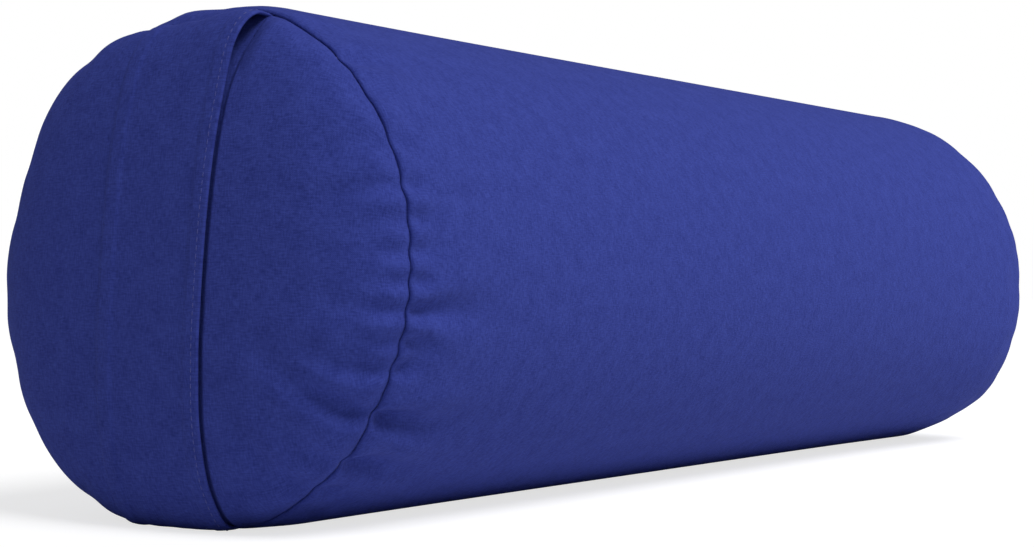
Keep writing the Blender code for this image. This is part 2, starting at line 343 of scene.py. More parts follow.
def fill_cover(skin):
    """The cushion's push, as pressure on the cloth, while the seam thread draws the edges in."""
    seam = skin.vertex_groups.new(name="seam")
    for index, place in enumerate(p.vector for p in skin.data.attributes["pattern"].data):
        if on_round_end(place) and math.hypot(place.x, place.z) > CUT_RADIUS - 1e-5:
            seam.add([index], gather_share(place), "REPLACE")
    skin.shape_key_add(name="worn")
    cut = skin.shape_key_add(name="cut")
    for index, vert in enumerate(skin.data.vertices):
        place = Vector(skin.data.attributes["pattern"].data[index].vector)
        cut.data[index].co = place
        start = start_shape(place)
        vert.co = start
        skin.data.shape_keys.key_blocks["worn"].data[index].co = start
    cloth = skin.modifiers.new("cloth", "CLOTH")
    cloth.collision_settings.use_collision = False
    settings = cloth.settings
    settings.quality = 6
    settings.mass = 0.3
    settings.tension_stiffness = 80
    settings.compression_stiffness = 40
    settings.shear_stiffness = 15
    settings.bending_stiffness = 0.08
    settings.tension_damping = settings.compression_damping = settings.shear_damping = 2
    settings.use_pressure = True
    settings.uniform_pressure_force = 15
    settings.effector_weights.gravity = 0
    settings.vertex_group_shrink = "seam"
    settings.shrink_max = 0.07
    settings.rest_shape_key = cut
    for step in range(1, SIM_FRAMES + 1):
        bpy.context.scene.frame_set(step)
    take_result(skin)
    bpy.context.scene.frame_set(1)


def take_result(piece):
    """Applies every modifier, and drops shape keys."""
    graph = bpy.context.evaluated_depsgraph_get()
    result = bpy.data.meshes.new_from_object(piece.evaluated_get(graph))
    piece.shape_key_clear()
    piece.modifiers.clear()
    piece.data = result


def finer(piece, levels):
    smooth = piece.modifiers.new("finer", "SUBSURF")
    smooth.levels = smooth.render_levels = levels
    take_result(piece)


def mesh_arrays(mesh):
    worn = np.array([v.co for v in mesh.vertices])
    pattern = np.array([p.vector for p in mesh.attributes["pattern"].data])
    return worn, pattern


def cushion_outline():
    """Distance along the cloth from the middle of an end, as a share, with the radius and rise there."""
    turn = np.sin(np.linspace(0, math.pi / 2, 400)) ** (2 / DOME_SQUARENESS[0])
    rise = END_DOME * np.maximum(0, 1 - turn ** DOME_SQUARENESS[0]) ** (1 / DOME_SQUARENESS[1])
    radius = SEAM_RADIUS * turn
    along = np.concatenate([[0], np.cumsum(np.hypot(np.diff(radius), np.diff(rise)))])
    return along / along[-1], radius, rise


def bump(value, middle, width):
    return np.exp(-(((value - middle) / width) ** 2))


def turned_from(angle, degrees):
    """How far an angle is from this one, in degrees, the short way round."""
    return (np.degrees(angle) - degrees + 180) % 360 - 180


def near_fullness(angle):
    """How far the soft corner at the closure end fills out, as a share of the radius. It sags at the top."""
    share = 1 - 0.009 * np.cos(2 * angle) + 0.024 * np.sin(2 * angle) - 0.008 * np.sin(angle)
    share -= 0.034 * bump(turned_from(angle, 102), 0, 21)
    share -= 0.062 * bump(turned_from(angle, 161), 0, 16)
    return share + 0.058 * bump(turned_from(angle, 228), 0, 24)


def far_fullness(angle):
    """The same at the far end, which is fullest where it meets the floor."""
    return 1 + 0.058 * bump(turned_from(angle, -36), 0, 26)


# The deepest gathers at the closure end: where they lie round the seam in degrees, then in metres their depth
# and their reach into the end panel and into the body, and last how far they lean off square.
GATHERS = (
    (38, 0.0022, 0.014, 0.010, 0.0),
    (27, 0.0026, 0.020, 0.010, 0.1),
    (17, 0.0050, 0.026, 0.012, 0.0),
    (10, 0.0031, 0.016, 0.016, 0.0),
    (3, 0.0041, 0.020, 0.012, 0.0),
    (-3, 0.0041, 0.022, 0.014, 0.0),
    (-9, 0.0053, 0.024, 0.040, 0.0),
    (-16, 0.0038, 0.018, 0.020, 0.0),
    (-22, 0.0055, 0.036, 0.014, -0.1),
    (-34, 0.0065, 0.040, 0.048, 0.1),
    (-47, 0.0053, 0.026, 0.040, 0.1),
    (-57, 0.0041, 0.038, 0.010, 0.0),
    (48, 0.0036, 0.006, 0.030, 0.0),
)
GATHER_WIDTH = 0.0034


def gathered(angle, from_seam):
    """The height of the gathers, with from_seam positive on the body and negative on the end panel."""
    height = np.zeros_like(angle)
    for degrees, depth, on_panel, on_body, lean in GATHERS:
        reach = np.where(from_seam < 0, on_panel, on_body)
        width = GATHER_WIDTH * (1 + np.abs(from_seam) / 0.035)
        aside = np.radians(turned_from(angle, degrees)) * CUT_RADIUS + lean * from_seam
        ridges = bump(aside, 1.9 * width, width) + bump(aside, -1.9 * width, width)
        height -= depth * (bump(aside, 0, width) - 0.28 * ridges) * bump(from_seam, 0, reach)
    return height * (1 - 0.8 * bump(from_seam, 0, 0.0055))


# Over the top of the closure end, the seam is tucked in and the body puffs up behind it. Both ends lean a
# little, and the cloth goes over softly to the flat that the floor presses.
TOP_TUCK = 0.0085
TOP_PUFF = 0.0092
BODY_LIFT = 0.0055
NEAR_LEAN = 0.029
FAR_LEAN = 0.050
FLOOR_PRESS = 0.0015


def seat_on_cushion(mesh):
    """Fits the simulated cloth's mean outline to the cushion and floor, and keeps part of every gather."""
    worn, pattern = mesh_arrays(mesh)
    side = np.sign(pattern[:, 1])
    flat_radius = np.hypot(pattern[:, 0], pattern[:, 2])
    on_end = np.abs(np.abs(pattern[:, 1]) - SEAM_Y) < 1e-6
    from_middle = np.where(on_end, flat_radius, CUT_RADIUS + SEAM_Y - np.abs(pattern[:, 1]))
    radius = np.hypot(worn[:, 0], worn[:, 2])
    angle = np.arctan2(worn[:, 2], worn[:, 0])
    out = worn[:, 1] * side
    bins = np.round(from_middle / 0.0022).astype(int)
    count = np.maximum(1, np.bincount(bins))
    centres = np.bincount(bins, from_middle) / count
    held = np.bincount(bins) > 0
    mean_radius = np.interp(from_middle, centres[held], (np.bincount(bins, radius) / count)[held])
    mean_out = np.interp(from_middle, centres[held], (np.bincount(bins, out) / count)[held])

    share, dome_radius, dome_rise = cushion_outline()
    along = np.minimum(1, from_middle / CUT_RADIUS)
    to_seam = np.maximum(0, from_middle - CUT_RADIUS)
    shoulder = np.sqrt(1 - (1 - np.minimum(1, to_seam / SHOULDER)) ** 2)
    on_tube = SEAM_RADIUS + (BODY_RADIUS - SEAM_RADIUS) * shoulder
    new_radius = np.where(on_end, np.interp(along, share, dome_radius), on_tube)
    new_out = np.where(on_end, SEAM_Y + np.interp(along, share, dome_rise), SEAM_Y - to_seam)
    corner = np.where(on_end, along**3, np.exp(-((to_seam / 0.10) ** 2)))
    near = np.where(side < 0, corner, 0)
    far = corner - near
    new_radius *= 1 + near * (near_fullness(angle) - 1) + far * (far_fullness(angle) - 1)
    top = near * np.exp(-((turned_from(angle, 91) / 13) ** 4))
    behind_seam = 1 - bump(to_seam, 0, 0.010)
    new_radius += top * np.where(on_end, -TOP_TUCK * along**4, -TOP_TUCK + TOP_PUFF * behind_seam)
    lift = BODY_LIFT * bump(turned_from(angle, 103), 0, 9) * behind_seam
    new_radius += np.where(on_end, 0, near * lift)
    at_seam = bump(from_middle, CUT_RADIUS, 0.008)
    kept = np.where(side < 0, 0.6, 0.35) * (1 - 0.35 * at_seam)
    from_seam = np.where(on_end, from_middle - CUT_RADIUS, to_seam)
    fold = np.where(side < 0, gathered(angle, from_seam), 0)
    facing_out = np.where(on_end, 1 - along**6, 0)
    new_radius += kept * (radius - mean_radius) + fold * (1 - facing_out)
    new_out += kept * (out - mean_out) + fold * facing_out
    x = new_radius * np.cos(angle)
    z = AXIS_Z + new_radius * np.sin(angle)
    y = side * new_out
    y -= near * NEAR_LEAN * (z - AXIS_Z) + far * FAR_LEAN * np.minimum(0, z - AXIS_Z)
    pressed = FLOOR_PRESS * np.log1p(np.exp(np.minimum(z, 6 * FLOOR_PRESS) / FLOOR_PRESS))
    z = np.where(z > 6 * FLOOR_PRESS, z, pressed)
    mesh.vertices.foreach_set("co", np.stack([x, y, z], 1).ravel())
    mesh.update()


skin = add_piece("sewn_cover", cut_and_sew())
fill_cover(skin)
finer(skin, 1)
seat_on_cushion(skin.data)


# The panels part along the end seams. At a seam each cloth's edge is turned inside with an allowance of
# 10 mm or less, and the thread pulls the two turned edges down into a fine groove.
SEAM_GROOVE = 0.0011
ALLOWANCE = 0.010
FIRST_TURN = (0.0012, 0.0006)  # how far back along the tube, and how far inwards
ALLOWANCE_SLOPE = 0.0045
COVER_THICKNESS = 0.0006
BACK_SEAM = math.radians(225)
BACK_GROOVE = 0.0009
BACK_TURN = 0.003


def bmesh_of(piece):
    bm = bmesh.new()
    bm.from_mesh(piece.data)
    return bm


def pattern_of(bm):
    return bm.verts.layers.float_vector["pattern"]


def keep_panel(bm, wanted):
    """Deletes every face whose middle isn't on the wanted panel."""
    pattern = pattern_of(bm)
    others = []
    for face in bm.faces:
        middle = sum((vert[pattern] for vert in face.verts), Vector()) / len(face.verts)
        if not wanted(middle):
            others.append(face)
    bmesh.ops.delete(bm, geom=others, context="FACES")
    bm.normal_update()


def from_axis(place):
    """The direction straight out from the bolster's axis here."""
    return Vector((place.x, 0, place.z - AXIS_Z)).normalized()


def into_cover(place, side):
    """The direction in which a seam's edges turn: inwards, and back along the tube."""
    return Vector((0, -side, 0)) - 0.55 * from_axis(place)


def turn_in_seam(bm, side, allowance=ALLOWANCE, groove=SEAM_GROOVE):
    """Turns the cloth in along the end seam on this side of the cover."""
    pattern = pattern_of(bm)
    edges = []
    for edge in bm.edges:
        ends = [vert[pattern] for vert in edge.verts]
        on_seam = all(math.hypot(p.x, p.z) > CUT_RADIUS - 0.0006 and side * p.y > SEAM_Y - 1e-6 for p in ends)
        if edge.is_boundary and on_seam:
            edges.append(edge)
    ring = list({vert for edge in edges for vert in edge.verts})
    for vert in ring:
        vert.co += groove * into_cover(vert.co, side)
    for depth, inwards in (FIRST_TURN, (allowance, ALLOWANCE_SLOPE)):
        edges, added = extrude(bm, edges)
        for vert in added:
            vert.co += Vector((0, -side * depth, 0)) - inwards * from_axis(vert.co)


def lay_out_pattern(bm):
    """The UV map: each panel as it was cut, in metres, with the tube opened at its lengthwise seam."""
    pattern = pattern_of(bm)
    uv = bm.loops.layers.uv.new("pattern")
    for face in bm.faces:
        middle = sum((vert[pattern] for vert in face.verts), Vector()) / len(face.verts)
        turn = (math.atan2(middle.z, middle.x) - BACK_SEAM) % math.tau
        for loop in face.loops:
            place = loop.vert[pattern]
            if on_round_end(place) and on_round_end(middle):
                loop[uv].uv = (place.x, place.z)
                continue
            local = (math.atan2(place.z, place.x) - BACK_SEAM) % math.tau
            local -= math.tau * round((local - turn) / math.tau)
            loop[uv].uv = (CUT_RADIUS * local, place.y)


def finish_cloth(name, bm, cloth, thickness):
    """The panel as an object in its material, with the cloth's thickness where its back can be seen."""
    lay_out_pattern(bm)
    panel = add_piece(name, bm)
    panel.data.materials.append(cloth)
    if not thickness:
        return panel
    wall = panel.modifiers.new("wall", "SOLIDIFY")
    wall.thickness = thickness
    wall.offset = -1
    take_result(panel)
    return panel


def open_lengthwise_seam(bm):
    """The tube's own seam, low on the back: a shallow groove with both edges turned in."""
    pattern = pattern_of(bm)
    line = []
    for edge in bm.edges:
        ends = [vert[pattern] for vert in edge.verts]
        if all(abs(p.x - p.z) < 2e-5 and p.x < 0 for p in ends):
            line.append(edge)
    for vert in {vert for edge in line for vert in edge.verts}:
        if abs(vert[pattern].y) < SEAM_Y - 1e-6:
            vert.co -= BACK_GROOVE * vert.normal
    bmesh.ops.split_edges(bm, edges=line)
    sides = []
    for edge in bm.edges:
        ends = [vert[pattern] for vert in edge.verts]
        if edge.is_boundary and all(abs(p.x - p.z) < 2e-5 and p.x < 0 for p in ends):
            sides.append(edge)
    for vert in extrude(bm, sides)[1]:
        vert.co -= BACK_TURN * from_axis(vert.co)


# The body: one panel of twill round the length of the bolster, its two long edges sewn low on the back.
def make_body():
    bm = bmesh_of(skin)
    keep_panel(bm, lambda place: not on_round_end(place))
    open_lengthwise_seam(bm)
    for side in (-1, 1):
        turn_in_seam(bm, side)
    body = finish_cloth("cover_body_cloth", bm, BLUE_TWILL, 0)
    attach(body, "cover")
    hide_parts("cover_body")


make_body()


# The far end: one round panel of the same twill, sewn in all round.
def make_far_end():
    bm = bmesh_of(skin)
    keep_panel(bm, lambda place: on_round_end(place) and place.y > 0)
    turn_in_seam(bm, 1, allowance=ALLOWANCE - 0.001)
    panel = finish_cloth("far_end_cloth", bm, BLUE_TWILL, COVER_THICKNESS)
    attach(panel, "cover")
    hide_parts("far_end_panel")


make_far_end()

# The closure: two panels that lap over each other across the near end, each with a narrow hem. The cushion
# goes in between them, and the seam holds both round the rim, so the outer one gapes a little at the top.
LAP_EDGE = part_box("closure_overlap_panel")[1][0]
UNDERLAP_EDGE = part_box("closure_underlap_panel")[0][0]
HEM = 0.0065
EDGE_TURN = 0.0016  # across the rounded fold of a hem
SIDEWAYS = Vector((math.cos(CLOSURE_ROLL), 0, -math.sin(CLOSURE_ROLL)))
GAPE_HEIGHT = 0.090  # above the middle of the end
GAPE_REACH = 0.017
GAPE_LIFT = 0.0025
GAPE_DIP = 0.0045
HEM_SHOWS = 0.0010  # how far the hem underneath lifts the outer panel
RIM_PULL = 0.034


def smoothstep(low, high, value):
    share = min(1.0, max(0.0, (value - low) / (high - low)))
    return share * share * (3 - 2 * share)


def near_gape(place):
    """1 where the outer panel gapes at the top, and 0 well away from it."""
    return math.exp(-(((place.z - GAPE_HEIGHT) / GAPE_REACH) ** 2))


def rim_hold(place, reach=0.006):
    """0 at the end seam, where every layer is held together, rising to 1 inside it."""
    inside = max(0.0, CUT_RADIUS - math.hypot(place.x, place.z))
    return 1 - math.exp(-((inside / reach) ** 2))


def overlap_level(place):
    """How far the outer panel stands off the cushion's mean surface."""
    across = place.dot(SIDEWAYS)
    level = 0.0003
    level += HEM_SHOWS * smoothstep(UNDERLAP_EDGE - 0.0012, UNDERLAP_EDGE + 0.0004, across)
    level -= 0.0006 * smoothstep(UNDERLAP_EDGE + HEM - 0.0006, UNDERLAP_EDGE + HEM + 0.0010, across)
    level += 0.0005 * smoothstep(LAP_EDGE - HEM - 0.0008, LAP_EDGE - HEM + 0.0006, across)
    level += GAPE_LIFT * near_gape(place) * smoothstep(LAP_EDGE - 0.030, LAP_EDGE, across)
    return level * rim_hold(place)


def underlap_level(place):
    """How far the inner panel lies below that surface: under the outer one, and most where that one gapes."""
    across = place.dot(SIDEWAYS)
    beneath = 1 - smoothstep(LAP_EDGE + 0.0002, LAP_EDGE + 0.0028, across)
    dip = near_gape(place) * smoothstep(LAP_EDGE - 0.016, LAP_EDGE - 0.004, across)
    dip *= 1 - smoothstep(LAP_EDGE + 0.001, LAP_EDGE + 0.010, across)
    return -0.0002 - (0.0018 * beneath + GAPE_DIP * dip) * (0.25 + 0.75 * rim_hold(place))


def drawn_aside(worn, place):
    """The top of the closure is pulled round the rim a little, so that the free edge bends over there."""
    beside_edge = math.exp(-(((place.dot(SIDEWAYS) - LAP_EDGE) / 0.018) ** 2))
    pull = RIM_PULL * smoothstep(0.078, 0.112, place.z) * beside_edge
    middle = Vector((0, 0, AXIS_Z))
    return Matrix.Rotation(pull, 3, "Y") @ (worn - middle) + middle


def cut_straight(bm, across, keep):
    """Cuts the flat panel along a line across the end and keeps one side, or only scores it if keep is 0."""
    pattern = pattern_of(bm)
    worn = bm.verts.layers.float_vector["worn"]
    for vert in bm.verts:
        vert[worn] = vert.co
        vert.co = vert[pattern]
    everything = bm.verts[:] + bm.edges[:] + bm.faces[:]
    cut = {"plane_co": across * SIDEWAYS + Vector((0, -SEAM_Y, 0)), "plane_no": SIDEWAYS, "dist": 1e-6}
    bmesh.ops.bisect_plane(bm, geom=everything, clear_inner=keep > 0, clear_outer=keep < 0, **cut)
    for vert in bm.verts:
        vert[pattern] = vert.co
        vert.co = vert[worn]


def near_end_panel(edge, keep, scores, level):
    """Half of the near end's cloth, cut at its free edge and lifted to its own level."""
    bm = bmesh_of(near_end)
    bm.verts.layers.float_vector.new("worn")
    cut_straight(bm, edge, keep)
    for score in scores:
        cut_straight(bm, score, 0)
    bm.normal_update()
    pattern = pattern_of(bm)
    raised = [vert.co + vert.normal * level(vert[pattern]) for vert in bm.verts]
    for vert, place in zip(bm.verts, raised):
        vert.co = drawn_aside(place, vert[pattern])
    bm.normal_update()
    return bm


def fold_hem(bm, edge, keep):
    """Rolls the free edge round to the inside, and lays the hem back under the panel."""
    pattern = pattern_of(bm)
    free = []
    for piece_edge in bm.edges:
        beyond = [abs(vert[pattern].dot(SIDEWAYS) - edge) for vert in piece_edge.verts]
        if piece_edge.is_boundary and max(beyond) < 1e-5:
            free.append(piece_edge)
    frames = {}
    for vert in {v for piece_edge in free for v in piece_edge.verts}:
        outwards = -keep * (SIDEWAYS - vert.normal * SIDEWAYS.dot(vert.normal)).normalized()
        frames[tuple(vert[pattern])] = (vert.co.copy(), outwards, vert.normal.copy())
    radius = EDGE_TURN / 2
    turns = (0.6, 1.2, 1.8, 2.5, math.pi)
    profile = [(math.sin(turn) * radius, (math.cos(turn) - 1) * radius) for turn in turns]
    profile += [(-HEM / 2, -EDGE_TURN), (-HEM, -EDGE_TURN)]
    for out, down in profile:
        free, added = extrude(bm, free)
        for vert in added:
            place, outwards, normal = frames[tuple(vert[pattern])]
            vert.co = place + out * outwards + down * normal


def flat_to_worn(bm):
    """A function that finds where a place of the flat panel lies on the worn one, and the normal there."""
    copy = bm.copy()
    bmesh.ops.triangulate(copy, faces=copy.faces)
    pattern = pattern_of(copy)
    corners = [[(vert[pattern].copy(), vert.co.copy()) for vert in face.verts] for face in copy.faces]
    normals = [face.normal.copy() for face in copy.faces]
    copy.free()
    flat = [flat_place for face in corners for flat_place, _ in face]
    tree = BVHTree.FromPolygons(flat, [(3 * i, 3 * i + 1, 3 * i + 2) for i in range(len(corners))])

    def find(place):
        on_flat, _, index, _ = tree.find_nearest(place)
        (a, b, c) = corners[index]
        worn_place = geometry.barycentric_transform(on_flat, a[0], b[0], c[0], a[1], b[1], c[1])
        return worn_place, normals[index]

    return find


near_bm = bmesh_of(skin)
keep_panel(near_bm, lambda place: on_round_end(place) and place.y < 0)
near_end = add_piece("near_end_uncut", near_bm)
finer(near_end, 1)
near_end.hide_render = True


def make_underlap():
    scores = (UNDERLAP_EDGE + HEM, LAP_EDGE, LAP_EDGE + 0.0014, LAP_EDGE + 0.0028)
    bm = near_end_panel(UNDERLAP_EDGE, 1, scores, underlap_level)
    on_panel = flat_to_worn(bm)
    fold_hem(bm, UNDERLAP_EDGE, 1)
    turn_in_seam(bm, -1, allowance=ALLOWANCE - 0.001)
    panel = finish_cloth("closure_underlap_cloth", bm, BLUE_TWILL, COVER_THICKNESS)
    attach(panel, "cover")
    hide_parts("closure_underlap_panel")
    return panel, on_panel


def make_overlap():
    scores = (UNDERLAP_EDGE, UNDERLAP_EDGE + HEM, LAP_EDGE - HEM)
    bm = near_end_panel(LAP_EDGE, -1, scores, overlap_level)
    on_panel = flat_to_worn(bm)
    fold_hem(bm, LAP_EDGE, -1)
    turn_in_seam(bm, -1, allowance=ALLOWANCE - 0.002)
    panel = finish_cloth("closure_overlap_cloth", bm, BLUE_TWILL, COVER_THICKNESS)
    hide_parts("closure_overlap_panel")
    return panel, on_panel


underlap, on_underlap = make_underlap()
overlap, on_overlap = make_overlap()


def lift_with_overlap(piece):
    """Bakes the piece's placing into its mesh."""
    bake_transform(piece)


lift_with_overlap(overlap)

# Stitching: blue polyester sewing thread, in a lockstitch every 3 mm that sinks a little into the hem.
STITCH_PITCH = 0.003
STITCH_LENGTH = 0.0022
THREAD_WIDTH = 0.0005
STITCHING_STOPS = 0.004  # short of the end seam


def thread_material(name, colour):
    thread = bpy.data.materials.new(name)
    thread.use_nodes = True
    tree = thread.node_tree
    shader = tree.nodes["Principled BSDF"]
    where = node(tree, "ShaderNodeTexCoord").outputs["Object"]
    twist = {"Vector": where, "Scale": 700.0, "Distortion": 2.0}
    ply = node(tree, "ShaderNodeTexWave", twist, bands_direction="DIAGONAL")
    shade = node(tree, "ShaderNodeMapRange", {"Value": ply.outputs["Fac"], "To Min": 0.8, "To Max": 1.25})
    tint = node(tree, "ShaderNodeVectorMath", {0: colour, "Scale": shade.outputs[0]}, operation="SCALE")
    tree.links.new(tint.outputs[0], shader.inputs["Base Color"])
    bump = node(tree, "ShaderNodeBump", {"Height": ply.outputs["Fac"], "Distance": 0.0001, "Strength": 0.6})
    tree.links.new(bump.outputs[0], shader.inputs["Normal"])
    shader.inputs["Roughness"].default_value = 0.6
    shader.inputs["Sheen Weight"].default_value = 0.1
    return thread


BLUE_THREAD = thread_material("blue_sewing_thread", (0.045, 0.056, 0.270))


def add_stitch(bm, middle, along, normal, length=STITCH_LENGTH, width=THREAD_WIDTH):
    """One stitch: a short rounded length of thread that dips at both ends."""
    along = (along - normal * along.dot(normal)).normalized()
    turn = Matrix((along, normal.cross(along), normal)).transposed().to_4x4()
    size = Matrix.Diagonal((length / 2, width / 2, width / 2, 1))
    lying = Matrix.Translation(middle) @ turn @ size @ Matrix.Rotation(math.pi / 2, 4, "Y")
    bmesh.ops.create_uvsphere(bm, u_segments=6, v_segments=5, radius=1.0, matrix=lying)


def stitch_row(name, on_panel, across):
    """A straight row of stitches across the near end, on the face of a hem."""
    bm = bmesh.new()
    reach = math.sqrt(CUT_RADIUS**2 - across**2) - STITCHING_STOPS
    upright = Vector((math.sin(CLOSURE_ROLL), 0, math.cos(CLOSURE_ROLL)))
    count = int(2 * reach / STITCH_PITCH)
    for index in range(count):
        height = (index - (count - 1) / 2) * STITCH_PITCH
        flat = across * SIDEWAYS + height * upright + Vector((0, -SEAM_Y, 0))
        middle, normal = on_panel(flat)
        above, _ = on_panel(flat + 0.001 * upright)
        add_stitch(bm, middle, above - middle, normal)
    stitches = add_piece(name, bm)
    stitches.data.materials.append(BLUE_THREAD)
    return stitches


underlap_row = stitch_row("underlap_hem_stitches", on_underlap, UNDERLAP_EDGE + HEM - 0.001)
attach(underlap_row, "cover")
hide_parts("underlap_hem_stitching")
overlap_row = stitch_row("overlap_edge_stitches", on_overlap, LAP_EDGE - 0.0022)
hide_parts("overlap_hem_stitching")
lift_with_overlap(overlap_row)


# The end seams: each is a row of lockstitches right round, drawn down into its groove. Inside the
# cover an overlock, a looser thread wound over them, binds the two raw edges.
OVERLOCK_PITCH = 0.0028
OVERLOCK_THREAD = 0.0005
OVERLOCK_SIDES = 5
ENDS = (("near", -1), ("far", 1))


def seam_ring(mesh, side):
    """The sewn line round an end, as points in order."""
    ring = []
    for vert, place in zip(mesh.vertices, (p.vector for p in mesh.attributes["pattern"].data)):
        if side * place.y > SEAM_Y - 1e-6 and math.hypot(place.x, place.z) > CUT_RADIUS - 0.0006:
            ring.append((math.atan2(place.z, place.x), vert.co.copy()))
    return [place for _, place in sorted(ring, key=lambda entry: entry[0])]


def evenly(line, count, closed=False):
    """This many points at equal distances along a line, each with the direction of the line there."""
    points = np.array(line + line[:1] if closed else line)
    along = np.concatenate([[0], np.cumsum(np.linalg.norm(np.diff(points, axis=0), axis=1))])
    middles = (np.arange(count) + 0.5) * along[-1] / count

    def at(distances):
        return [Vector(p) for p in zip(*(np.interp(distances, along, points[:, i]) for i in range(3)))]

    return [(place, (after - place).normalized()) for place, after in zip(at(middles), at(middles + 1e-4))]


def line_length(line):
    return sum((b - a).length for a, b in zip(line, line[1:]))


def end_seam_stitches(name, mesh, side, thread, replaced):
    """Stitches round an end, at the bottom of the groove."""
    bm = bmesh.new()
    ring = seam_ring(mesh, side)
    for place, ahead in evenly(ring, int(line_length(ring) / STITCH_PITCH), closed=True):
        inwards = into_cover(place, side)
        add_stitch(bm, place + 1.5 * SEAM_GROOVE * inwards, ahead, -inwards.normalized())
    return thread_piece(name, bm, thread, replaced)


def thread_piece(name, bm, thread, replaced):
    piece = add_piece(name, bm)
    piece.data.materials.append(thread)
    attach(piece, "cover")
    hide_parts(replaced)
    return piece


def thread_along(bm, points, thickness, closed=False):
    """A round thread laid along these points."""
    made = bmesh.ops.create_circle(bm, segments=OVERLOCK_SIDES, radius=thickness / 2)["verts"]
    first = list({edge for vert in made for edge in vert.link_edges})
    ahead = (points[1] - points[0]).normalized()
    turn = Vector((0, 0, 1)).rotation_difference(ahead).to_matrix()
    for vert in made:
        vert.co = points[0] + turn @ vert.co
    edges = first
    for before, place, after in zip(points, points[1:], points[2:] + points[:1]):
        onward = (after - before).normalized()
        turn = ahead.rotation_difference(onward).to_matrix()
        edges, added = extrude(bm, edges)
        for vert in added:
            vert.co = place + turn @ (vert.co - before)
        ahead = onward
    if closed:
        bmesh.ops.bridge_loops(bm, edges=first + edges)


def overlock(name, ring, side, replaced):
    """The thread wound over the two raw edges, which lie a little inside the seam."""
    points = []
    around = ((0.0004, 0.0062), (0.0006, 0.0116), (-0.0020, 0.0120), (-0.0022, 0.0068))  # out, and back
    loops = int(line_length(ring) / OVERLOCK_PITCH)
    for index, (place, _) in enumerate(evenly(ring, 4 * loops, closed=True)):
        over, deep = around[index % 4]
        sewn = place + SEAM_GROOVE * into_cover(place, side)
        points.append(sewn + Vector((0, -side * deep, 0)) + (over - 0.0010 - 0.40 * deep) * from_axis(place))
    bm = bmesh.new()
    thread_along(bm, points, OVERLOCK_THREAD, closed=True)
    bmesh.ops.recalc_face_normals(bm, faces=bm.faces)
    return thread_piece(name, bm, BLUE_THREAD, replaced)


NATURAL_THREAD = thread_material("natural_cotton_thread", (0.72, 0.66, 0.54))
for end, end_side in ENDS:
    seam_thread = f"{end}_end_seam_thread"
    end_seam_stitches(f"{end}_end_seam_stitches", skin.data, end_side, BLUE_THREAD, seam_thread)
    sewn_ring = seam_ring(skin.data, end_side)
    overlock(f"{end}_end_overlock_thread", sewn_ring, end_side, f"{end}_end_overlock")


def make_side_seam_stitches():
    """The tube's lengthwise seam, low on the back: the same stitches in its groove."""
    line = []
    for vert, place in zip(skin.data.vertices, (p.vector for p in skin.data.attributes["pattern"].data)):
        if abs(place.x - place.z) < 2e-5 and place.x < 0 and abs(place.y) < SEAM_Y - 0.004:
            line.append(vert.co.copy())
    line.sort(key=lambda place: place.y)
    bm = bmesh.new()
    for place, ahead in evenly(line, int(line_length(line) / STITCH_PITCH)):
        add_stitch(bm, place - 0.0011 * from_axis(place), ahead, from_axis(place))
    thread_piece("side_seam_stitches", bm, BLUE_THREAD, "cover_side_seam_thread")


make_side_seam_stitches()

# The inner bolster: a muslin liner, sewn like the cover but a size smaller. It fills the cover, so the same
# gathers run through it, and it sinks in a little where the closure gapes and under the cover's allowance.
MUSLIN_DEEP = (0.55, 0.48, 0.36, 1)
MUSLIN_PALE = (0.74, 0.67, 0.54, 1)
MUSLIN_YARN = 0.0008
MUSLIN = woven("unbleached_muslin", MUSLIN_DEEP, MUSLIN_PALE, MUSLIN_YARN, relief=0.0002, sheen=0.05)
LINER_DEPTH = 0.0042
LINER_ALLOWANCE = 0.008


def liner_level(place):
    across = place.dot(SIDEWAYS)
    gape = 0.0
    if place.y < 0 and on_round_end(place):
        gape = near_gape(place) * smoothstep(0, 0.020, across) * (1 - smoothstep(0.035, 0.055, across))
    beneath_allowance = 0.0
    if not on_round_end(place):
        beneath_allowance = math.exp(-(((SEAM_Y - abs(place.y) - 0.009) / 0.008) ** 2))
    return -LINER_DEPTH - 0.0050 * gape - 0.0040 * beneath_allowance


def make_liner_panel(name, wanted, sides, replaced):
    bm = bmesh_of(liner)
    keep_panel(bm, wanted)
    for side in sides:
        turn_in_seam(bm, side, allowance=LINER_ALLOWANCE)
    lay_out_pattern(bm)
    panel = add_piece(name, bm)
    panel.data.materials.append(MUSLIN)
    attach(panel, "cover")
    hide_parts(replaced)
    return panel


liner_bm = bmesh_of(skin)
liner_bm.normal_update()
lowered = [v.co + v.normal * liner_level(v[pattern_of(liner_bm)]) for v in liner_bm.verts]
for liner_vert, liner_place in zip(liner_bm.verts, lowered):
    liner_vert.co = liner_place
liner = add_piece("liner_uncut", liner_bm)
liner_body = make_liner_panel("liner_body_cloth", lambda p: not on_round_end(p), (-1, 1), "liner_body")
for end, end_side in ENDS:
    def on_this_end(place):
        return on_round_end(place) and end_side * place.y > 0

    panel = make_liner_panel(f"liner_{end}_cloth", on_this_end, (end_side,), f"liner_{end}_end")

# The liner's own sewing, in natural cotton thread: a seam round each end, a machined seam along the top of
# its tube, and the rest of that seam closed by hand after stuffing, with long slanting stitches.
LINER_SEAM = math.radians(100)
HAND_STITCHED = (0.084, 0.318)
HAND_PITCH = 0.006
HAND_STITCH = 0.0052
HAND_THREAD = 0.0008
HAND_SLANT = math.radians(35)
MACHINED = (-0.318, 0.080)
for end, end_side in ENDS:
    seam_thread = f"liner_{end}_seam_thread"
    end_seam_stitches(f"liner_{end}_stitches", liner.data, end_side, NATURAL_THREAD, seam_thread)


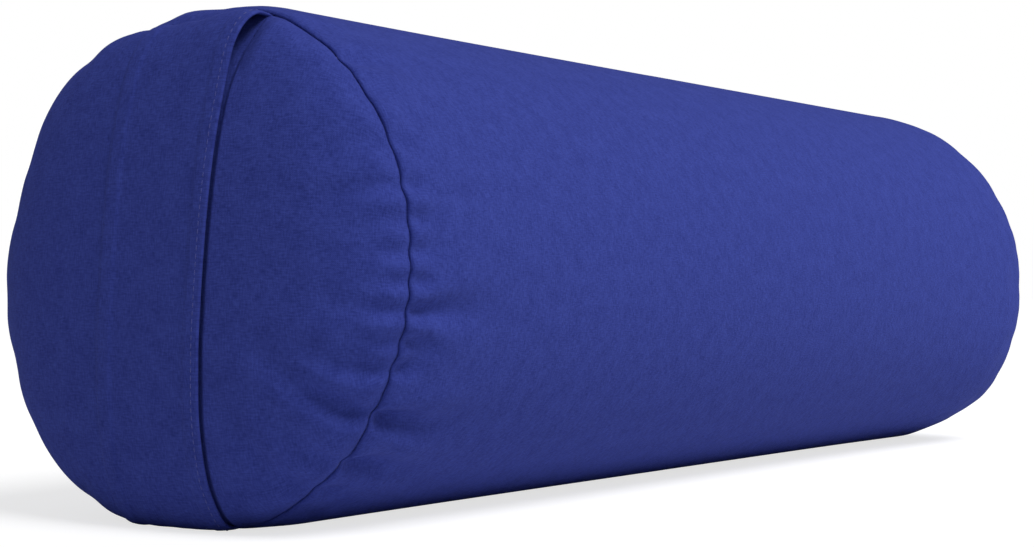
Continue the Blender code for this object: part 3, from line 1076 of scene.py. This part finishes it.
def sew_liner_tube(name, limits, pitch, slant, length, width, replaced):
    """A row of stitches along the top of the liner, each turned by the slant."""
    places = [vert.co for vert in liner.data.vertices]
    tree = BVHTree.FromPolygons(places, [face.vertices for face in liner.data.polygons])
    bm = bmesh.new()
    count = int((limits[1] - limits[0]) / pitch)
    for index in range(count):
        y = limits[0] + (index + 0.5) * pitch
        above = Vector((CUT_RADIUS * math.cos(LINER_SEAM), y, AXIS_Z + CUT_RADIUS * math.sin(LINER_SEAM)))
        place, normal, _, _ = tree.find_nearest(above)
        along = Matrix.Rotation(slant, 3, normal) @ Vector((0, 1, 0))
        add_stitch(bm, place + 0.0001 * normal, along, normal, length, width)
    thread_piece(name, bm, NATURAL_THREAD, replaced)


machine_stitch = (STITCH_PITCH, 0.0, STITCH_LENGTH, THREAD_WIDTH)
sew_liner_tube("liner_seam_stitches", MACHINED, *machine_stitch, "liner_side_seam_thread")
hand_stitch = (HAND_PITCH, HAND_SLANT, HAND_STITCH, HAND_THREAD)
sew_liner_tube("liner_hand_stitches", HAND_STITCHED, *hand_stitch, "liner_closing_stitch")


# The stuffing: cotton batting, off-white and fibrous. A long strip rolled up tight makes the core, a thick
# wrap goes round the roll, and a pad fills out each end.
CORE_RADIUS = 0.0700
CORE_END = 0.3236
STUFFING_DEPTH = 0.0056
BATTING_SHEET = 0.0115
BATTING_GAP = 0.0008
ROLL_STEPS_PER_TURN = 40
PAD_BACK = CORE_END + 0.0006
PAD_BACK_RADIUS = 0.050


def batting_material():
    batting = bpy.data.materials.new("cotton_batting")
    batting.use_nodes = True
    tree = batting.node_tree
    shader = tree.nodes["Principled BSDF"]
    where = node(tree, "ShaderNodeTexCoord").outputs["Object"]
    fibre = {"Vector": where, "Scale": 260.0, "Detail": 6.0, "Distortion": 1.5}
    fibres = node(tree, "ShaderNodeTexNoise", fibre)
    lumps = node(tree, "ShaderNodeTexNoise", {"Vector": where, "Scale": 45.0, "Detail": 3.0})
    tone = math_node(tree, "ADD", fibres.outputs[0], math_node(tree, "MULTIPLY", lumps.outputs[0], 0.7))
    shade = node(tree, "ShaderNodeMapRange", {"Value": tone, "From Min": 0.5, "From Max": 1.2, "To Min": 0.8})
    cotton = {0: (0.80, 0.76, 0.66), "Scale": shade.outputs[0]}
    tint = node(tree, "ShaderNodeVectorMath", cotton, operation="SCALE")
    tree.links.new(tint.outputs[0], shader.inputs["Base Color"])
    fluff = node(tree, "ShaderNodeBump", {"Height": tone, "Distance": 0.0015, "Strength": 0.7})
    tree.links.new(fluff.outputs[0], shader.inputs["Normal"])
    shader.inputs["Roughness"].default_value = 1.0
    shader.inputs["Sheen Weight"].default_value = 0.3
    return batting


BATTING = batting_material()


def batting_piece(name, bm, replaced):
    bmesh.ops.recalc_face_normals(bm, faces=bm.faces)
    piece = add_piece(name, bm)
    piece.data.materials.append(BATTING)
    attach(piece, "cover")
    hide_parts(replaced)


def roll_core():
    """One strip of batting rolled up from the middle: a spiral, drawn out along the bolster's axis."""
    turns = (CORE_RADIUS - 0.002) / BATTING_SHEET
    bm = bmesh.new()
    steps = int(turns * ROLL_STEPS_PER_TURN)
    strip = bmesh.ops.create_grid(bm, x_segments=steps, y_segments=1, size=0.5)["verts"]
    for vert in strip:
        turn = (vert.co.x + 0.5) * turns
        through = vert.co.y * (BATTING_SHEET - BATTING_GAP)
        radius = max(0.0006, (turn - 0.5) * BATTING_SHEET + 0.0016 + through)
        angle = math.tau * turn
        vert.co = (radius * math.cos(angle), -CORE_END, AXIS_Z + radius * math.sin(angle))
    made = bmesh.ops.extrude_face_region(bm, geom=bm.faces[:])["geom"]
    far_verts = [g for g in made if isinstance(g, bmesh.types.BMVert)]
    bmesh.ops.translate(bm, verts=far_verts, vec=(0, 2 * CORE_END, 0))
    bmesh.ops.remove_doubles(bm, verts=bm.verts, dist=1e-6)
    batting_piece("batting_core_roll", bm, "filling_core_roll")


def stuffing_skin(wanted):
    """Part of the outside of the stuffing: the sewn shape again, a layer of muslin further in."""
    bm = bmesh_of(liner)
    bm.normal_update()
    lower = [vert.co - (STUFFING_DEPTH - LINER_DEPTH) * vert.normal for vert in bm.verts]
    for vert, place in zip(bm.verts, lower):
        vert.co = place
    keep_panel(bm, wanted)
    return bm


def wrap_core():
    """The wrap: a thick tube of batting, from the core out to the liner."""
    bm = stuffing_skin(lambda place: abs(place.y) < CORE_END)
    rims = [edge for edge in bm.edges if edge.is_boundary]
    made = bmesh.ops.extrude_edge_only(bm, edges=rims)["geom"]
    bore = [g for g in made if isinstance(g, bmesh.types.BMEdge)]
    for vert in (g for g in made if isinstance(g, bmesh.types.BMVert)):
        out = from_axis(vert.co)
        vert.co = Vector((0, vert.co.y, AXIS_Z)) + (CORE_RADIUS + 0.0004) * out
    bmesh.ops.bridge_loops(bm, edges=bore)
    batting_piece("batting_wrap", bm, "filling_outer_wrap")


def pad_end(name, side, replaced):
    """A pad: a low dome of batting with a flat back against the core."""
    bm = stuffing_skin(lambda place: side * place.y > CORE_END)
    rim = [edge for edge in bm.edges if edge.is_boundary]
    for vert in {vert for edge in rim for vert in edge.verts}:
        vert.co.y = side * max(PAD_BACK, side * vert.co.y)
    made = bmesh.ops.extrude_edge_only(bm, edges=rim)["geom"]
    inner = [g for g in made if isinstance(g, bmesh.types.BMEdge)]
    for vert in (g for g in made if isinstance(g, bmesh.types.BMVert)):
        vert.co = Vector((0, side * PAD_BACK, AXIS_Z)) + PAD_BACK_RADIUS * from_axis(vert.co)
    bmesh.ops.edgeloop_fill(bm, edges=inner)
    batting_piece(name, bm, replaced)


roll_core()
wrap_core()
pad_end("near_batting_pad", -1, "near_end_filling_pad")
pad_end("far_batting_pad", 1, "far_end_filling_pad")

for leftover in (skin, near_end, liner):
    bpy.data.objects.remove(leftover)
